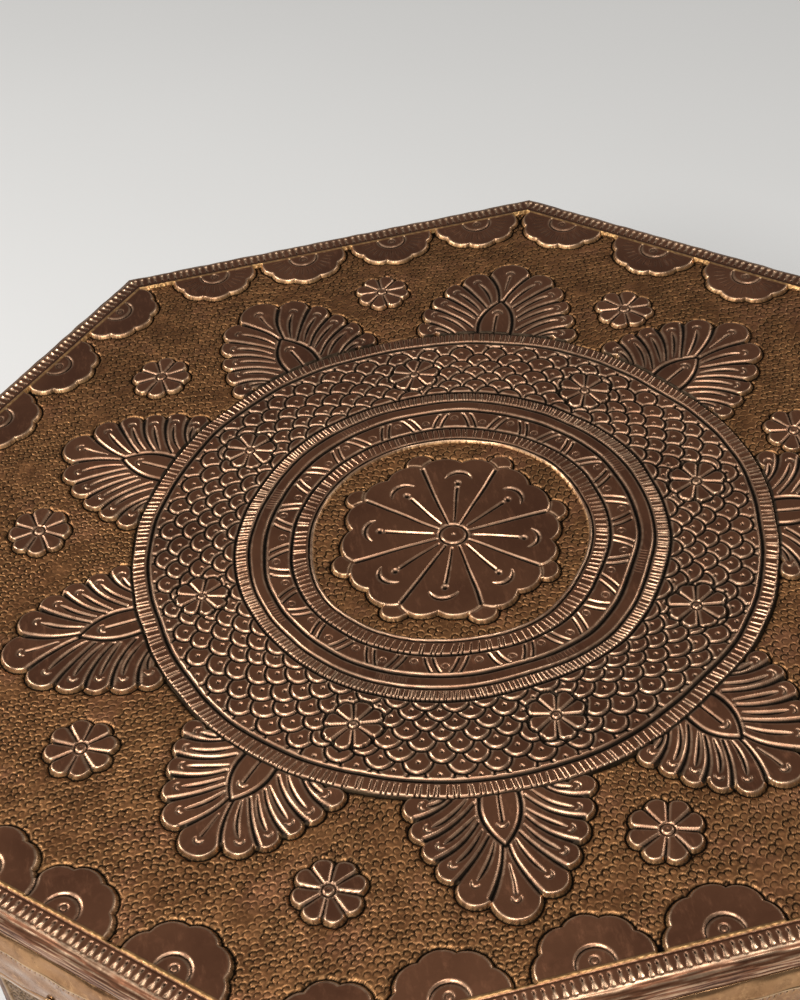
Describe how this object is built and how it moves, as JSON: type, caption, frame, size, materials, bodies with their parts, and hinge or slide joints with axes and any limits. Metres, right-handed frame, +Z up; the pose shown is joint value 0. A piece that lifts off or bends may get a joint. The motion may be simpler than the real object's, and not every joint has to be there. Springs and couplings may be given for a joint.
{
  "type": "bajot low table",
  "caption": "Low eight-sided table with an embossed brass top, brass-clad arched sides and a teak body, for sitting by, serving or display.",
  "frame": {"origin": "on the floor, under the middle of the table", "axes": "+Z up; +X and +Y square to the long sides"},
  "size_m": [0.4074, 0.4074, 0.165],
  "materials": {
    "brass_top": "aged, embossed",
    "brass_edge": "aged, rubbed",
    "brass_side": "aged, embossed",
    "brass_pins": "rubbed",
    "teak_board": "oiled, dark",
    "teak_plain": "bare",
    "screw_steel": "dull"
  },
  "bodies": {
    "root": {"batten_1": "teak_board", "batten_2": "teak_board", "batten_screws": "screw_steel", "block_screws": "screw_steel", "corner_block_1": "teak_board", "corner_block_2": "teak_board", "corner_block_3": "teak_board", "corner_block_4": "teak_board", "corner_block_5": "teak_board", "corner_block_6": "teak_board", "corner_block_7": "teak_board", "corner_block_8": "teak_board", "edge_moulding_long_1": "teak_board", "edge_moulding_long_2": "teak_board", "edge_moulding_long_3": "teak_board", "edge_moulding_long_4": "teak_board", "edge_moulding_short_1": "teak_board", "edge_moulding_short_2": "teak_board", "edge_moulding_short_3": "teak_board", "edge_moulding_short_4": "teak_board", "edge_pins": "brass_pins", "edge_strip_long_1": "brass_edge", "edge_strip_long_2": "brass_edge", "edge_strip_long_3": "brass_edge", "edge_strip_long_4": "brass_edge", "edge_strip_short_1": "brass_edge", "edge_strip_short_2": "brass_edge", "edge_strip_short_3": "brass_edge", "edge_strip_short_4": "brass_edge", "panel_pins": "brass_pins", "panel_sheet_long_1": "brass_side", "panel_sheet_long_2": "brass_side", "panel_sheet_long_3": "brass_side", "panel_sheet_long_4": "brass_side", "panel_sheet_short_1": "brass_side", "panel_sheet_short_2": "brass_side", "panel_sheet_short_3": "brass_side", "panel_sheet_short_4": "brass_side", "plank_dowels": "teak_plain", "side_panel_long_1": "teak_board", "side_panel_long_2": "teak_board", "side_panel_long_3": "teak_board", "side_panel_long_4": "teak_board", "side_panel_short_1": "teak_board", "side_panel_short_2": "teak_board", "side_panel_short_3": "teak_board", "side_panel_short_4": "teak_board", "top_plank_back": "teak_board", "top_plank_front": "teak_board", "top_plank_middle": "teak_board", "top_sheet": "brass_top"}
  },
  "joints": []
}
